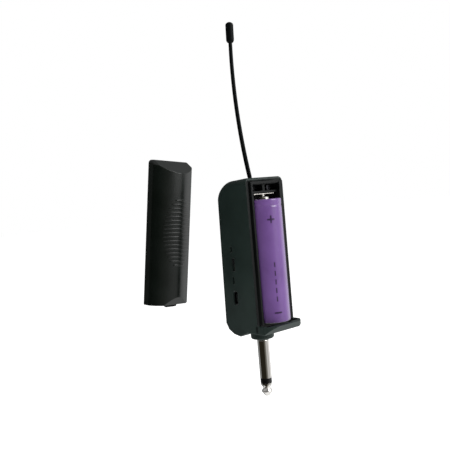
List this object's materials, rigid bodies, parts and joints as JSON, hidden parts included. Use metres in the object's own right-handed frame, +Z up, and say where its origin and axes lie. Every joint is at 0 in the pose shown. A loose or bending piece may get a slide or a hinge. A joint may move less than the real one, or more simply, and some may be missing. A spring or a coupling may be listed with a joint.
{
  "type": "wireless guitar transmitter",
  "caption": "Palm-size wireless instrument transmitter: a 6.35 mm plug below, a whip antenna above and a round cell behind a lift-off cover.",
  "frame": {"origin": "on the plug's axis, at the shoulder where the plug leaves the housing", "axes": "+Z up the plug's axis to the antenna, -Y the side that the battery cover closes, -X the side with the switch and the charging socket"},
  "size_m": [0.0665, 0.0581, 0.2025],
  "materials": {
    "case_plastic": "satin charcoal moulding",
    "tray_plastic": "satin black moulding",
    "gloss_black": "glossy black",
    "antenna_rubber": "satin black rubber",
    "cell_wrap_purple": "glossy heat-shrink wrap",
    "nickel_steel": "nickel plated",
    "cell_core": "nickel plated steel can, filled with the cell's winding",
    "plug_nickel": "polished nickel plate",
    "insulator_white": "matte fibre",
    "board_green": "solder mask",
    "chip_black": "matte epoxy",
    "wire_red": "insulated wire",
    "wire_black": "insulated wire",
    "black_steel": "black nickel plated",
    "light_pipe": "smoked clear",
    "led_white": "clear epoxy"
  },
  "bodies": {
    "housing": {"rear_case": "case_plastic", "battery_tray": "tray_plastic", "positive_contact": "nickel_steel", "negative_contact": "nickel_steel", "negative_spring": "nickel_steel", "main_board": "board_green", "rf_shield_can": "nickel_steel", "controller_chip": "chip_black", "audio_chip": "chip_black", "charger_chip": "chip_black", "power_inductor": "chip_black", "crystal_can": "nickel_steel", "capacitor_1": "nickel_steel", "capacitor_2": "nickel_steel", "board_screw_1": "nickel_steel", "board_screw_2": "nickel_steel", "tray_screw_1": "black_steel", "tray_screw_2": "black_steel", "switch_body": "nickel_steel", "light_pipe_upper": "light_pipe", "light_pipe_lower": "light_pipe", "indicator_led_upper": "led_white", "indicator_led_lower": "led_white", "charging_socket_shell": "black_steel", "charging_socket_tongue": "gloss_black", "signal_lead": "wire_red", "ground_lead": "wire_black", "negative_lead": "wire_black", "antenna_lead": "wire_black", "plug_sleeve": "plug_nickel", "plug_insulator_tube": "gloss_black", "plug_insulator_ring": "gloss_black", "plug_tip": "plug_nickel", "plug_nut": "nickel_steel", "antenna_socket": "nickel_steel"},
    "cover_carrier": {"cover_snap_bead": "gloss_black"},
    "cover": {"battery_cover": "case_plastic", "cover_tab": "gloss_black"},
    "cell": {"cell_sleeve": "cell_wrap_purple", "cell_can": "cell_core", "cell_insulator_ring": "insulator_white", "cell_positive_cap": "nickel_steel"},
    "switch": {"switch_knob": "gloss_black"},
    "antenna": {"antenna_whip": "antenna_rubber", "antenna_tip_cap": "antenna_rubber"}
  },
  "joints": [
    {"name": "cover_swing", "type": "hinge", "parent": "housing", "child": "cover_carrier", "pos_m": [-0.03834, -0.0139, 0.09967], "axis": [-0.3783, 0, -0.9257], "range_deg": [-279.06, 0]},
    {"name": "cover_turn", "type": "hinge", "parent": "cover_carrier", "child": "cover", "pos_m": [-0.0323, 0.027, 0.0972], "axis": [-0.401, 0.0778, -0.9128], "range_deg": [0, 286.93]},
    {"name": "cell_out", "type": "slide", "parent": "housing", "child": "cell", "axis": [0, -1, 0], "range_m": [0, 0.04]},
    {"name": "power_switch", "type": "slide", "parent": "housing", "child": "switch", "axis": [0, 0, -1], "range_m": [0, 0.003]},
    {"name": "antenna_flex", "type": "hinge", "parent": "housing", "child": "antenna", "pos_m": [0, -0.0006, 0.0877], "axis": [0, 1, 0], "range_deg": [-15, 15], "stiffness_Nm_per_rad": 0.012}
  ],
  "couplings": [
    {"joint": "cover_turn", "follows": "cover_swing", "ratio": -1.0282}
  ]
}
